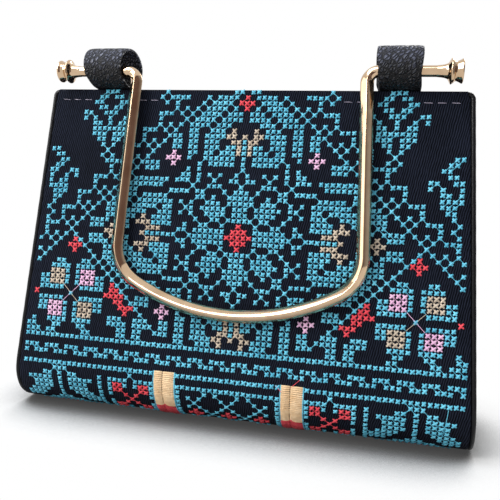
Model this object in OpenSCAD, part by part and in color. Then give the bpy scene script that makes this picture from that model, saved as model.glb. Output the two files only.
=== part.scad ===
// Structured handbag: an embroidered fabric shell folded under the bottom, two leather loops
// on the front top edge and a bent bar handle that swings in them.
// X runs along the bag, the front faces -Y, Z is up and the floor is at z = 0.

/* [Body] */
// Width between the side seams at the top edge
top_w = 224; // [215:1:232]
// Width between the side seams at the base
base_w = 245; // [240:1:255]
// Height from the floor to the top edge
body_h = 180; // [176:1:186]
// Depth across the top edges
top_d = 22; // [21:1:26]
// Depth across the bottom folds
base_d = 74; // [72:1:80]
// Outer radius of the bottom fold
fold_r = 24; // [22:1:26]

/* [Layers] */
// Thickness of the shell fabric with its interfacing
shell_t = 1.8; // [1.5:0.1:2.2]
// Thickness of the lining
lining_t = 0.8; // [0.6:0.1:1]
// Thickness of a gusset panel
gusset_t = 1.6; // [1.2:0.1:2]
// Diameter of the piping along the side seams
piping_d = 2.6; // [2.2:0.1:3]

/* [Handle] */
// Diameter of the bent bar
bar_d = 6; // [5.8:0.1:6.4]
// Diameter of the rods that run through the loops
rod_d = 5.6; // [5.2:0.1:5.8]
// Drop from the rod axis to the middle of the grip
handle_drop = 128; // [122:1:132]
// Distance between the arms at their lower ends
handle_span = 131.6; // [129:0.2:132.6]
// Bend radius of the lower corners
corner_r = 23; // [20:1:26]
// Angle of the bowed grip, from its middle to each corner
grip_half_angle = 29; // [26:1:32]
// Lean of each arm, outward as it goes down
arm_lean = 2.5; // [2:0.1:3]
// Bend radius of the elbows
elbow_r = 5.6; // [5.2:0.1:6]
// Distance from the middle of the bag to the seat of a knob
knob_x = 99.5; // [98:0.5:102]
// Diameter of a knob's rims
knob_d = 12.8; // [12:0.1:13.6]
// Length of a knob
knob_len = 8; // [7:0.5:9]

/* [Loops] */
// Distance from the middle of the bag to the middle of a loop
loop_x = 78.6; // [78.4:0.1:79.6]
// Width of a loop's strap at the top edge
loop_w = 20.5; // [19.5:0.1:21]
// Width of a loop's strap at its highest point
loop_crown_w = 23; // [22:0.1:23.5]
// Height of a loop above the top edge
loop_h = 22.4; // [22:0.1:24]
// Thickness of the strap leather
strap_t = 2; // [1.8:0.1:2.2]

/* [Embroidery] */
// Distance from stitch to stitch
pitch = 3; // [2.9:0.02:3.1]
// Height of the stitches above the fabric
stitch_t = 0.5; // [0.4:0.05:0.6]
// Length of a running stitch below the top edge
hem_stitch = 4.4; // [4:0.1:5]
// Distance from one running stitch to the next
hem_pitch = 6.6; // [6.2:0.1:7]
// Distance of the running stitches below the top edge
hem_drop = 6; // [5:0.5:7]

/* [Snap] */
// Diameter of the magnetic snap
snap_d = 14; // [12:1:16]
// Distance of the snap below the top edge
snap_drop = 16; // [15:1:18]

/* [Hidden] */
$fn = 64;

fabric_colour = [0.10, 0.10, 0.14];
leather_colour = [0.12, 0.12, 0.15];
gold_colour = [0.86, 0.74, 0.53];
teal_colour = [0.35, 0.75, 0.80];
red_colour = [0.88, 0.24, 0.27];
cream_colour = [0.88, 0.80, 0.65];
lilac_colour = [0.80, 0.65, 0.80];
tan_colour = [0.87, 0.72, 0.50];

// Gap that keeps neighbouring pieces from touching
seat_gap = 0.05;
// Gap between the handle and what it hangs against
rest_gap = 0.3;
wall_t = shell_t + lining_t;
big = 400;

// Side profile: straight walls tangent to two bottom folds
fold_y = base_d / 2 - fold_r;
fold_dist = norm([fold_y - top_d / 2, body_h - fold_r]);
lean = asin(fold_r / fold_dist) + atan2(fold_y - top_d / 2, body_h - fold_r);
slant = sqrt(fold_dist * fold_dist - fold_r * fold_r);
fold_steps = 14;
fold_turn = 90 + lean;

// Points of the front half of the profile, set in from the outer face
function front_half(inset) = concat(
    [[-top_d / 2 + inset / cos(lean), body_h]],
    [for (i = [0:fold_steps])
        let (e = lean - fold_turn * i / fold_steps)
        [-fold_y - (fold_r - inset) * cos(e), fold_r + (fold_r - inset) * sin(e)]]
);
function back_half(inset) = let (f = front_half(inset)) [for (i = [len(f) - 1:-1:0]) [-f[i][0], f[i][1]]];
function profile(inset) = concat(front_half(inset), back_half(inset));

// Half the width between the side seams at height z
function half_w(z) = base_w / 2 - (base_w - top_w) / 2 * z / body_h;

// Solid with the side profile, between the side seams set in by side
module body_block(inset, side) {
    intersection() {
        rotate([90, 0, 90])
            linear_extrude(height = big, center = true)
                polygon(profile(inset));
        rotate([90, 0, 0])
            linear_extrude(height = big, center = true)
                polygon([
                    [-half_w(-1) + side, -1], [half_w(-1) - side, -1],
                    [half_w(body_h + 1) - side, body_h + 1], [-half_w(body_h + 1) + side, body_h + 1]
                ]);
    }
}

// Place children on the outer face of the front, s below the top edge, with their -Y outward
module on_front(s) {
    turn = max(0, s - slant) / fold_r * 180 / PI;
    translate([0, -fold_y, fold_r])
        rotate([turn - lean, 0, 0])
            translate([0, -fold_r, slant - min(s, slant)])
                children();
}

// Shell

// Open-topped tunnel of fabric: front, bottom and back
module shell() {
    color(fabric_colour)
        difference() {
            body_block(0, 0);
            rotate([90, 0, 90])
                linear_extrude(height = big, center = true)
                    polygon(profile(shell_t));
        }
}

// End panel between the shell's walls, flush with its side edges
module gusset(sx) {
    color(fabric_colour)
        mirror([sx < 0 ? 1 : 0, 0, 0])
            intersection() {
                rotate([90, 0, 90])
                    linear_extrude(height = big)
                        polygon(profile(shell_t));
                rotate([90, 0, 0])
                    linear_extrude(height = big, center = true)
                        polygon([
                            [half_w(-1) - gusset_t, -1], [half_w(-1), -1],
                            [half_w(body_h + 1), body_h + 1], [half_w(body_h + 1) - gusset_t, body_h + 1]
                        ]);
            }
}

// Round cord swept along the shell's side edge
piping_sides = 12;
function piping_path(sx) = [for (p = profile(piping_d / 2))
    [sx * (half_w(p[1]) + piping_d / 2 + seat_gap), p[0], p[1]]];
function unit(v) = v / norm(v);

module piping(sx) {
    path = piping_path(sx);
    rings = len(path);
    across = unit([body_h, 0, sx * (base_w - top_w) / 2]);
    points = [for (i = [0:rings - 1])
        let (
            along = unit(path[min(i + 1, rings - 1)] - path[max(i - 1, 0)]),
            out = cross(along, across)
        )
        for (j = [0:piping_sides - 1])
            path[i] + piping_d / 2 * (cos(360 * j / piping_sides) * across
                + sin(360 * j / piping_sides) * out)];
    walls = [for (i = [0:rings - 2], j = [0:piping_sides - 1], half = [0, 1])
        let (
            a = i * piping_sides + j,
            b = i * piping_sides + (j + 1) % piping_sides
        )
        half == 0 ? [a, b, a + piping_sides] : [b, b + piping_sides, a + piping_sides]];
    caps = [
        [for (j = [piping_sides - 1:-1:0]) j],
        [for (j = [0:piping_sides - 1]) (rings - 1) * piping_sides + j]
    ];
    color(leather_colour)
        polyhedron(points, concat(walls, caps));
}

module lining() {
    color(fabric_colour)
        difference() {
            body_block(shell_t, gusset_t);
            body_block(wall_t, gusset_t + lining_t);
            translate([0, 0, body_h]) cube([big, top_d, 2], center = true);
        }
}

// One row of running stitches along each top edge, hidden where embroidery covers it
hem_t = 0.5;
// Bare cloth at each end of a row
hem_end = 2;
// Room between a running stitch and the embroidery
hem_room = 0.3;
hem_count = floor((top_w - 2 * hem_end) / hem_pitch);
function hem_x(i) = (i - (hem_count - 1) / 2) * hem_pitch;
function hem_rows() = [for (r = [0:top_row])
    if (abs(drop_of(r) - hem_drop) < (pitch + hem_t) / 2 + hem_room) r];
function bare(x) =
    let (
        reach = hem_stitch / 2 + hem_room,
        left = (x - reach) / pitch + 0.5,
        right = (x + reach) / pitch + 0.5,
        field = concat(field_teal, red_blocks, cream_blocks, lilac_blocks),
        near = [for (r = hem_rows(), b = in_row(field, r)) if (b[0] < right && b[0] + b[2] > left) b]
    )
    len(near) == 0;
module hem_row(skip) {
    on_front(hem_drop)
        for (i = [0:hem_count - 1])
            if (!skip || bare(hem_x(i)))
                translate([hem_x(i), -hem_t / 2 - seat_gap, 0])
                    cube([hem_stitch, hem_t, hem_t], center = true);
}

module hem_stitching() {
    color("silver") {
        hem_row(true);
        rotate([0, 0, 180]) hem_row(false);
    }
}

// Magnetic snap

snap_plate_t = 1.6;
snap_boss_d = 6;
snap_boss_t = 1.8;
module snap_half() {
    on_front(snap_drop)
        translate([0, wall_t + seat_gap, 0])
            rotate([-90, 0, 0]) children();
}

module snap_socket() {
    color(gold_colour)
        snap_half()
            difference() {
                cylinder(d = snap_d, h = snap_plate_t + snap_boss_t);
                translate([0, 0, snap_plate_t]) cylinder(d = snap_boss_d + 1, h = snap_boss_t + 1);
            }
}

module snap_stud() {
    color(gold_colour)
        rotate([0, 0, 180])
            snap_half() {
                cylinder(d = snap_d, h = snap_plate_t);
                cylinder(d = snap_boss_d, h = snap_plate_t + snap_boss_t);
            }
}

// Loops: each strap leans forward as a ring and dives behind the top edge

loop_clear = 0.4;
ring_r = (loop_h - loop_clear) / 2;
ring_y = -0.5;
ring_z = loop_clear + ring_r;
ring_mid = ring_r - strap_t / 2;
tab_drop = 15;
tab_y0 = wall_t + seat_gap;
tab_y1 = tab_y0 + strap_t;
tab_y2 = tab_y1 + strap_t;
ring_back = ring_y + ring_r;
// Height where the front layer meets the ring, and where the back layer lies down on it
tab_top = ring_z - sqrt(pow(ring_mid, 2) - pow((tab_y0 + tab_y1) / 2 - ring_y, 2));
tab_join = -tab_drop * 0.6;

// Side view of the strap: ring, front layer and back layer
module loop_outline() {
    difference() {
        translate([ring_y, ring_z]) circle(r = ring_r);
        translate([ring_y, ring_z]) circle(r = ring_r - strap_t);
        translate([tab_y1, ring_z - big]) square(big);
    }
    translate([tab_y0, -tab_drop]) square([strap_t, tab_top + tab_drop]);
    polygon([
        [ring_back, ring_z], [ring_back - strap_t, ring_z], [ring_back - strap_t, 0.3],
        [tab_y1, tab_join], [tab_y1, -tab_drop], [tab_y2, -tab_drop], [tab_y2, tab_join], [ring_back, -0.3]
    ]);
}

module loop(sx) {
    color(leather_colour)
        on_front(0)
            translate([sx * loop_x, 0, 0])
                intersection() {
                    rotate([90, 0, 90])
                        linear_extrude(height = 2 * loop_crown_w, center = true)
                            loop_outline();
                    rotate([90, 0, 0])
                        linear_extrude(height = 4 * loop_h, center = true)
                            polygon([
                                [-loop_w / 2, -tab_drop - 1], [loop_w / 2, -tab_drop - 1],
                                [loop_w / 2, 0], [loop_crown_w / 2, loop_h + 1],
                                [-loop_crown_w / 2, loop_h + 1], [-loop_w / 2, 0]
                            ]);
                }
}

// Handle: rods, elbows, arms, corners and a bowed grip, all in one plane

rod_reach = ring_mid - strap_t / 2 - bar_d / 2 - rest_gap;
axis_up = 8.2;
axis_out = -ring_y + sqrt(rod_reach * rod_reach - (ring_z - axis_up) * (ring_z - axis_up));
grip_out = bar_d / 2 + stitch_t + seat_gap + rest_gap;
handle_tilt = asin((axis_out - grip_out) / handle_drop);
grip_r = corner_r + (handle_span / 2 - corner_r) / sin(grip_half_angle);
grip_centre = [0, grip_r - handle_drop];
corner_centre = grip_centre + (grip_r - corner_r) * [sin(grip_half_angle), -cos(grip_half_angle)];
corner_turn = 90 + arm_lean - grip_half_angle;
arm_foot = corner_centre + corner_r * [cos(arm_lean), sin(arm_lean)];
arm_dir = [-sin(arm_lean), cos(arm_lean)];
arm_len = (-arm_foot[1] - elbow_r + elbow_r * -sin(arm_lean)) / cos(arm_lean);
arm_top = arm_foot + arm_len * arm_dir;
elbow_centre = arm_top + elbow_r * [cos(arm_lean), sin(arm_lean)];
spigot_d = 3.2;
spigot_len = 5;
spigot_clear = 0.05;
// Each run enters the next bend by a short length and is a hair thinner than it
run_entry = 0.5;
run_d = bar_d - 0.1;
grip_entry = run_entry / grip_r * 180 / PI;

// Frame of the handle: origin on the rod axis, Z up along the arms
module handle_frame() {
    on_front(0)
        translate([0, -axis_out, axis_up])
            rotate([handle_tilt, 0, 0])
                children();
}

// Part of a torus in the XZ plane, from angle a0 through turn
module bend(centre, r, a0, turn, d) {
    translate([centre[0], 0, centre[1]])
        rotate([90, 0, 0])
            rotate([0, 0, a0])
                rotate_extrude(angle = turn)
                    translate([r, 0]) circle(d = d);
}

module half_handle() {
    bend(corner_centre, corner_r, grip_half_angle - 90, corner_turn, bar_d);
    translate([arm_foot[0], 0, arm_foot[1]])
        rotate([0, -arm_lean, 0])
            translate([0, 0, -run_entry]) cylinder(d = run_d, h = arm_len + 2 * run_entry);
    bend(elbow_centre, elbow_r, 90, 90 + arm_lean, bar_d);
    translate([elbow_centre[0] - run_entry, 0, 0])
        rotate([0, 90, 0]) cylinder(d = rod_d, h = knob_x - elbow_centre[0] + run_entry);
    translate([knob_x - spigot_len, 0, 0])
        rotate([0, 90, 0]) cylinder(d = spigot_d, h = 2 * spigot_len);
}

module handle_bar() {
    color(gold_colour)
        handle_frame() {
            bend(grip_centre, grip_r, -90 - grip_half_angle - grip_entry,
                2 * (grip_half_angle + grip_entry), run_d);
            half_handle();
            mirror([1, 0, 0]) half_handle();
        }
}

// Turned knob with two rims and a hollow waist, bored for the rod's spigot
rim_r = knob_d / 2;
waist_r = rim_r * 0.74;
knob_outline = [
    [0, 0], [rod_d / 2 + 0.5, 0], [rod_d / 2 + 1.1, knob_len * 0.1], [rim_r * 0.94, knob_len * 0.24],
    [rim_r, knob_len * 0.3], [rim_r * 0.97, knob_len * 0.36], [waist_r * 1.1, knob_len * 0.5],
    [waist_r, knob_len * 0.6], [waist_r * 1.08, knob_len * 0.7], [rim_r * 0.9, knob_len * 0.86],
    [rim_r * 0.93, knob_len * 0.93], [rim_r * 0.86, knob_len], [0, knob_len]
];
module knob(sx) {
    color(gold_colour)
        handle_frame()
            translate([sx * (knob_x + seat_gap), 0, 0])
                rotate([0, sx * 90, 0])
                    difference() {
                        rotate_extrude() polygon(knob_outline);
                        translate([0, 0, -1])
                            cylinder(r = spigot_d / 2 + spigot_clear, h = spigot_len + 1.4);
                    }
}

// Embroidery: blocks of stitches [column, row, columns, rows], with the rose's centre at [0, 0]

// Steps from the rose's centre to the line along the start of the bottom fold
fold_line_steps = -25;
// Angle of the bottom fold that the embroidery covers
wrap_angle = 80;
// Bare cloth along the side seams
side_margin = 1;
rose_drop = slant + fold_line_steps * pitch;
top_row = floor((rose_drop - pitch / 3) / pitch);
last_row = -floor((slant + fold_r * wrap_angle * PI / 180 - rose_drop) / pitch);
// Rows at the lower end of a bar that are sewn in another colour
bar_tip_steps = 5;
bar_tip_row = last_row + bar_tip_steps - 1;
stitch_margin = 0.12;

function flip_c(b) = [-b[0] - b[2] + 1, b[1], b[2], b[3]];
function flip_r(b) = [b[0], -b[1] - b[3] + 1, b[2], b[3]];
function swap(b) = [b[1], b[0], b[3], b[2]];
function moved(list, c, r) = [for (b = list) [b[0] + c, b[1] + r, b[2], b[3]]];
// Left and right copies, four-way copies and eight-way copies of a list of blocks
function two(list) = [for (b = list) each [b, flip_c(b)]];
function four(list) = [for (b = list) each [b, flip_c(b), flip_r(b), flip_c(flip_r(b))]];
function eight(list) = concat(four(list), four([for (b = list) swap(b)]));
function plus(c, r) = [[c - 1, r, 3, 1], [c, r - 1, 1, 3]];

// Eight-petal rose: straight petals on the axes and leaf petals on the diagonals
rose = concat(
    eight([[-2, 3, 5, 1], [-1, 4, 3, 2], [-2, 6, 5, 2], [-1, 8, 3, 1], [0, 9, 1, 1]]),
    four([[5, 7, 1, 1], [4, 6, 3, 1], [3, 5, 5, 1], [3, 4, 4, 1], [4, 3, 2, 1], [7, 7, 2, 2]])
);
rose_heart = [[-2, 0, 5, 1], [-1, -1, 3, 3], [0, -2, 1, 5]];
// Ring of small sprigs and angled lines round the rose
sprig_ring = concat(
    eight([[1, 10, 2, 1], [1, 11, 1, 1], [3, 8, 1, 1]]),
    eight([[4, 9, 3, 1], [5, 10, 1, 1], [4, 11, 1, 1], [6, 11, 1, 1]]),
    eight([[8, 10, 1, 4], [0, 12, 1, 7]]),
    four([[9, 9, 1, 1], [10, 10, 3, 1], [10, 11, 2, 1], [10, 12, 1, 1]])
);
// Stepped combs, columns and slanting wings between the axes and the diagonals
wings = eight([
    [2, 16, 2, 1], [2, 15, 3, 1], [2, 14, 4, 1], [2, 13, 5, 1], [6, 14, 2, 2],
    [9, 15, 2, 5], [10, 14, 1, 1], [12, 16, 2, 3],
    [2, 25, 4, 1], [3, 24, 4, 1], [4, 23, 4, 1], [5, 22, 4, 1], [6, 21, 4, 1], [7, 20, 4, 1],
    [2, 23, 1, 1], [1, 22, 3, 1], [1, 21, 4, 1], [3, 20, 3, 1], [4, 19, 3, 1], [4, 18, 4, 1], [5, 16, 3, 2],
    [1, 26, 2, 3]
]);
axis_flowers = eight([[1, 15, 1, 3], [2, 17, 1, 3], [3, 18, 1, 1], [0, 18, 1, 1]]);

// Big diamond round the rose: slanting stems, with hooked leaves on the upper ones
diamond_steps = 32;
leaf = [[0, 0, 3, 1], [2, -2, 1, 2], [1, -3, 1, 1], [0, -2, 1, 1]];
diamond = two(concat(
    [for (c = [7:40]) [c, diamond_steps - c, 1, 1]],
    [for (c = [14:31]) [c, c - diamond_steps, 1, 1]],
    [for (c = [20:25]) [c, c - diamond_steps + 2, 1, 1]],
    [for (k = [-1:8]) each moved(leaf, 14 + 3 * k, 22 - 3 * k)]
));

// Tulip with a pair of hooked leaves and a ring bud
tulip = concat(
    two([
        [1, 1, 1, 1], [1, 3, 1, 1], [1, 4, 2, 1], [1, 5, 3, 2], [2, 7, 2, 1], [3, 8, 1, 1],
        [4, 9, 2, 1], [5, 8, 1, 1], [1, 10, 2, 1], [2, 11, 2, 1], [1, 12, 2, 1]
    ]),
    [[0, 0, 1, 1], [0, 2, 1, 1], [0, 6, 1, 3], [-1, 9, 3, 1], [-1, 13, 3, 1]]
);
tulips = two([for (at = [[15, 24], [26, 13], [37, 2]]) each moved(tulip, at[0], at[1])]);

// Corner rosettes: four leaf blocks, each round a patch of another colour
rosette_steps = [31, -12];
rosette = two(concat(
    moved(
        four([[2, 6, 2, 1], [1, 5, 4, 1], [1, 2, 1, 3], [5, 2, 2, 2], [2, 1, 5, 1]]),
        rosette_steps[0], rosette_steps[1]
    ),
    [[rosette_steps[0], rosette_steps[1], 1, 1]]
));
patch = [[2, 2, 3, 3]];
rosette_lilac = two(moved([for (b = patch) each [flip_c(b), flip_r(b)]], rosette_steps[0], rosette_steps[1]));
rosette_cream = two(moved([for (b = patch) each [b, flip_c(flip_r(b))]], rosette_steps[0], rosette_steps[1]));
lozenge = [
    [23, -10, 1, 1], [22, -11, 2, 1], [21, -12, 4, 1], [21, -13, 2, 1], [19, -14, 3, 1], [20, -15, 1, 1]
];
// Small uprights that stand on the border below the diamond and the rosettes
foot_blocks = two([
    [15, -17, 2, 1], [16, -16, 1, 1], [17, -19, 2, 4], [20, -19, 2, 3], [21, -17, 3, 2],
    [27, -19, 2, 1], [34, -19, 2, 1], [37, -19, 4, 1], [38, -18, 3, 2], [39, -16, 1, 1]
]);

// Border: two lines with a stepped zigzag between them, which nothing else crosses
border_steps = -20;
border_cols = 45;
border = concat(
    [for (r = [border_steps, fold_line_steps]) [-border_cols, r, 2 * border_cols + 1, 1]],
    [for (c = [-border_cols - 3:4:border_cols + 3])
        each [[c + 1, border_steps - 2, 3, 1], [c + 3, border_steps - 3, 3, 1]]]
);

// Hem band on the fold: lattice, cross flowers and half stars
flower_steps = [18, -31];
star_steps = [32, -36];
lattice = [for (c = [-7:7], r = [-36:-28]) if ((c + r) % 6 == 0 || (c - r) % 6 == 0) [c, r, 1, 1]];
hem_teal = concat(
    lattice,
    [[-8, -27, 17, 1]],
    two(concat(
        [[9, -36, 1, 10], [24, -36, 1, 10], [18, -26, 1, 1]],
        moved(four([[4, 1, 1, 4], [2, 4, 2, 1], [1, 3, 1, 2]]), flower_steps[0], flower_steps[1]),
        moved(
            concat(
                two([
                    [2, 9, 2, 1], [2, 8, 5, 1], [2, 6, 4, 2], [3, 5, 4, 1], [4, 4, 4, 1], [5, 3, 3, 1],
                    [3, 0, 4, 1]
                ]),
                [[-1, 10, 3, 1], [0, 4, 1, 6], [-1, 3, 3, 1], [-3, 2, 7, 1], [-4, 1, 9, 1]]
            ),
            star_steps[0], star_steps[1]
        )
    ))
);
hem_red = concat(
    [for (c = [-6, 0, 6]) each plus(c, -33)],
    two(concat(
        moved(four([[2, 2, 2, 2], [1, 1, 1, 1]]), flower_steps[0], flower_steps[1]),
        [[flower_steps[0], flower_steps[1], 1, 1], [star_steps[0] - 2, star_steps[1], 5, 1]]
    ))
);

red_blocks = concat(
    rose_heart, plus(0, 24), hem_red,
    two(concat(plus(31, -3), plus(39, -12), lozenge))
);
cream_blocks = concat(axis_flowers, rosette_cream, two(plus(24, 0)));
lilac_blocks = concat(rosette_lilac, four(plus(13, 14)));
bar_cols = [10, 13];
bar_blocks = two([[bar_cols[0], last_row, bar_cols[1] - bar_cols[0] + 1, fold_line_steps - last_row + 1]]);

function covers(list, c) = len([for (b = list) if (c >= b[0] && c < b[0] + b[2]) 1]) > 0;
function in_row(list, r) = [for (b = list) if (r >= b[1] && r < b[1] + b[3]) b];
function drop_of(r) = rose_drop - r * pitch;
function col_limit(r) =
    floor((half_w(body_h - min(drop_of(r), slant) * cos(lean)) - side_margin) / pitch - 0.5);
function run_from(mask, i) = i < len(mask) && mask[i] ? 1 + run_from(mask, i + 1) : 0;
// Runs of stitches [first column, length] in row r, left out where another colour lies
function runs(list, over, r) =
    let (
        n = col_limit(r),
        mine = in_row(list, r),
        others = in_row(over, r),
        mask = [for (c = [-n:n]) covers(mine, c) && !covers(others, c)]
    )
    [for (i = [0:2 * n]) if (mask[i] && (i == 0 || !mask[i - 1])) [i - n, run_from(mask, i)]];

function has_run(table, i, run) = i >= 0 && i < len(table) && len([for (q = table[i]) if (q == run) 1]) > 0;
// Number of rows from i downward that hold the same run, as far as the row at stop
function run_rows(table, i, run, stop) =
    i > stop && has_run(table, i - 1, run) ? 1 + run_rows(table, i - 1, run, stop) : 1;

// One box for each block of stitches; rows on the fold stay single to follow its curve
module stitch_runs(list, over) {
    table = [for (r = [last_row:top_row]) runs(list, over, r)];
    flat_from = fold_line_steps - last_row;
    for (i = [0:len(table) - 1], run = table[i])
        if (i < flat_from || !has_run(table, i + 1, run)) {
            rows = run_rows(table, i, run, min(i, flat_from));
            high = min(pitch / 2, drop_of(i + last_row)) - stitch_margin;
            low = -(rows - 0.5) * pitch + stitch_margin;
            on_front(drop_of(i + last_row))
                translate([(run[0] - 0.5) * pitch + stitch_margin, -stitch_t - seat_gap, low])
                    cube([run[1] * pitch - 2 * stitch_margin, stitch_t, high - low]);
        }
}

// The parts of a list's blocks that lie above the border
function above_border(list) = [for (b = list)
    let (low = max(b[1], border_steps + 1))
    if (b[1] + b[3] > low) [b[0], low, b[2], b[1] + b[3] - low]];
field_teal = above_border(concat(rose, sprig_ring, wings, diamond, tulips, rosette, foot_blocks));

module teal_stitches() {
    color(teal_colour)
        stitch_runs(
            concat(field_teal, border, hem_teal),
            concat(red_blocks, above_border(concat(cream_blocks, lilac_blocks)), bar_blocks)
        );
}

module red_stitches() {
    color(red_colour) stitch_runs(red_blocks, bar_blocks);
}

module cream_stitches() {
    color(cream_colour) stitch_runs(above_border(cream_blocks), red_blocks);
}

module lilac_stitches() {
    color(lilac_colour) stitch_runs(above_border(lilac_blocks), red_blocks);
}

// Satin-stitch bars on the fold, in rows that follow its curve
bar_x = (bar_cols[0] + bar_cols[1]) / 2 * pitch;
bar_w = (bar_cols[1] - bar_cols[0] + 1) * pitch - 2 * stitch_margin;
module bar_rows(first, last) {
    for (sx = [-1, 1], r = [first:last])
        on_front(drop_of(r))
            translate([sx * bar_x, -stitch_t / 2 - seat_gap, 0])
                cube([bar_w, stitch_t, pitch - 2 * stitch_margin], center = true);
}

module tan_bars() {
    color(tan_colour) bar_rows(bar_tip_row + 1, fold_line_steps);
}

module tan_bar_tips() {
    color(red_colour) bar_rows(last_row, bar_tip_row);
}

shell();
gusset(-1);  // left_gusset
gusset(1);  // right_gusset
piping(-1);  // left_piping
piping(1);  // right_piping
lining();
hem_stitching();
snap_socket();
snap_stud();
loop(-1);  // left_loop
loop(1);  // right_loop
handle_bar();
knob(-1);  // left_knob
knob(1);  // right_knob
teal_stitches();
red_stitches();
cream_stitches();
lilac_stitches();
tan_bars();
tan_bar_tips();
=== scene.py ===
import math

import bpy
import numpy as np
from mathutils import Matrix, Vector


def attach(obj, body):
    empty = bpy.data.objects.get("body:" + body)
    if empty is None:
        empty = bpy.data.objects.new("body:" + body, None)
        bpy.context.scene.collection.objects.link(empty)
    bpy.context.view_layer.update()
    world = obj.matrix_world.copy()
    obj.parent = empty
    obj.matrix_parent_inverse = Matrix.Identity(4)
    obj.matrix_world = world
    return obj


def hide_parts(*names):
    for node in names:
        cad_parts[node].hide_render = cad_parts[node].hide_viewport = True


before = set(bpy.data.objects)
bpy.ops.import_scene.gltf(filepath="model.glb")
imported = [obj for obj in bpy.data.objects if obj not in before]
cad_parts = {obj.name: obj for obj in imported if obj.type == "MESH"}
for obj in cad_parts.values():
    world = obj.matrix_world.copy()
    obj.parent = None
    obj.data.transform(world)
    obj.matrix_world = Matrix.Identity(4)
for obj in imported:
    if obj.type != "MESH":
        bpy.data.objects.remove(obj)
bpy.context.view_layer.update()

MM_IN_METRE = 1000
SIDES = ((-1, "left"), (1, "right"))
DIAGONAL = math.sqrt(0.5)

# Sizes of the solids, in millimetres, and angles in radians

# Width of the top edge and of the base, and height of the body
TOP_W, BASE_W, BODY_H = 224.0, 245.0, 180.0
# Depth of the mouth and of the base, and radius of the bottom folds
TOP_D, BASE_D, FOLD_R = 22.0, 74.0, 24.0
# Thickness of the shell and of the lining
SHELL_T, LINING_T = 1.8, 0.8
# Diameter of the piping cord, and radius in which it turns in at the top edge
PIPING_D, CORD_BEND = 2.6, 2.2
# Distance from stitch to stitch, height of a block of stitches and its margin
PITCH, STITCH_T, STITCH_MARGIN = 3.0, 0.5, 0.12
# Radius of the bar and of the rods at its ends
BAR_R, ROD_R = 3.0, 2.8
# Drop of the grip, span of the arms, radius of the corners and half the grip's angle
DROP, SPAN, CORNER_R, GRIP_ANGLE = 128.0, 131.6, 23.0, math.radians(29)
# Lean of the arms, radius of the elbows and height of the rod axis above the top edge
ARM_LEAN, ELBOW_R, AXIS_UP = math.radians(2.5), 5.6, 8.2
# Where a knob starts, its diameter and its length
KNOB_X, KNOB_D, KNOB_LEN = 99.5, 12.8, 8.0
# Place of a loop, its height, and its width at the foot and at the crown
LOOP_X, LOOP_H, LOOP_W, LOOP_CROWN_W = 78.6, 22.4, 20.5, 23.0
# Thickness of a loop's strap, its length inside the wall, and its room above the top edge
STRAP_T, TAB_DROP, LOOP_CLEAR = 2.0, 15.0, 0.4
# Middle of a loop's ring, measured into the bag from the front top edge
RING_Y = -0.5
# Gap between neighbouring pieces, and between the handle and what it hangs against
SEAT_GAP, REST_GAP = 0.05, 0.3

# Sizes that the looks add, in millimetres

# Square section of the arms and the grip: half its width, radius of its edges, swell of its faces
BAR_FLAT, BAR_EDGE, BAR_CROWN = 2.5, 0.4, 0.14
# Room between two layers of cloth, and the small room that keeps two surfaces from lying in one
CLOTH_GAP, SKIN_GAP = 0.1, 0.02
# Height above the top edge over which a loop's strap comes free of the wall
STRAP_FOOT = 6.0

# Values that follow from the sizes

FOLD_Y = BASE_D / 2 - FOLD_R
FOLD_DIST = math.hypot(FOLD_Y - TOP_D / 2, BODY_H - FOLD_R)
LEAN = math.asin(FOLD_R / FOLD_DIST) + math.atan2(FOLD_Y - TOP_D / 2, BODY_H - FOLD_R)
SLANT = math.sqrt(FOLD_DIST ** 2 - FOLD_R ** 2)
FOLD_TURN = math.pi / 2 + LEAN
ARC = FOLD_R * FOLD_TURN
GIRTH = 2 * SLANT + 2 * ARC + 2 * FOLD_Y
RING_R = (LOOP_H - LOOP_CLEAR) / 2
RING_Z = LOOP_CLEAR + RING_R
RING_MID = RING_R - STRAP_T / 2
ROD_REACH = RING_MID - STRAP_T / 2 - BAR_R - REST_GAP
AXIS_OUT = -RING_Y + math.sqrt(ROD_REACH ** 2 - (RING_Z - AXIS_UP) ** 2)
GRIP_OUT = BAR_R + STITCH_T + SEAT_GAP + REST_GAP
TILT = math.asin((AXIS_OUT - GRIP_OUT) / DROP)


# Modelling helpers

def deselect_all():
    if bpy.context.object and bpy.context.object.mode != "OBJECT":
        bpy.ops.object.mode_set(mode="OBJECT")
    bpy.ops.object.select_all(action="DESELECT")


def make_active(obj):
    deselect_all()
    obj.select_set(True)
    bpy.context.view_layer.objects.active = obj


def sheet(name, columns, rows, place):
    """A grid laid over a surface: place(u, v) takes arrays from 0 to 1 and gives millimetres."""
    deselect_all()
    bpy.ops.mesh.primitive_grid_add(x_subdivisions=columns, y_subdivisions=rows, size=2)
    obj = bpy.context.object
    obj.name = name
    flat = np.empty(len(obj.data.vertices) * 3)
    obj.data.vertices.foreach_get("co", flat)
    flat = flat.reshape(-1, 3)
    u, v = (flat[:, 0] + 1) / 2, (flat[:, 1] + 1) / 2
    laid = np.stack(np.broadcast_arrays(*place(u, v)), axis=1) / MM_IN_METRE
    obj.data.vertices.foreach_set("co", np.ascontiguousarray(laid, dtype=np.float32).ravel())
    obj.data.update()
    return obj


def face_outward(obj):
    make_active(obj)
    bpy.ops.object.mode_set(mode="EDIT")
    bpy.ops.mesh.select_all(action="SELECT")
    bpy.ops.mesh.normals_make_consistent(inside=False)
    bpy.ops.object.mode_set(mode="OBJECT")


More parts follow.
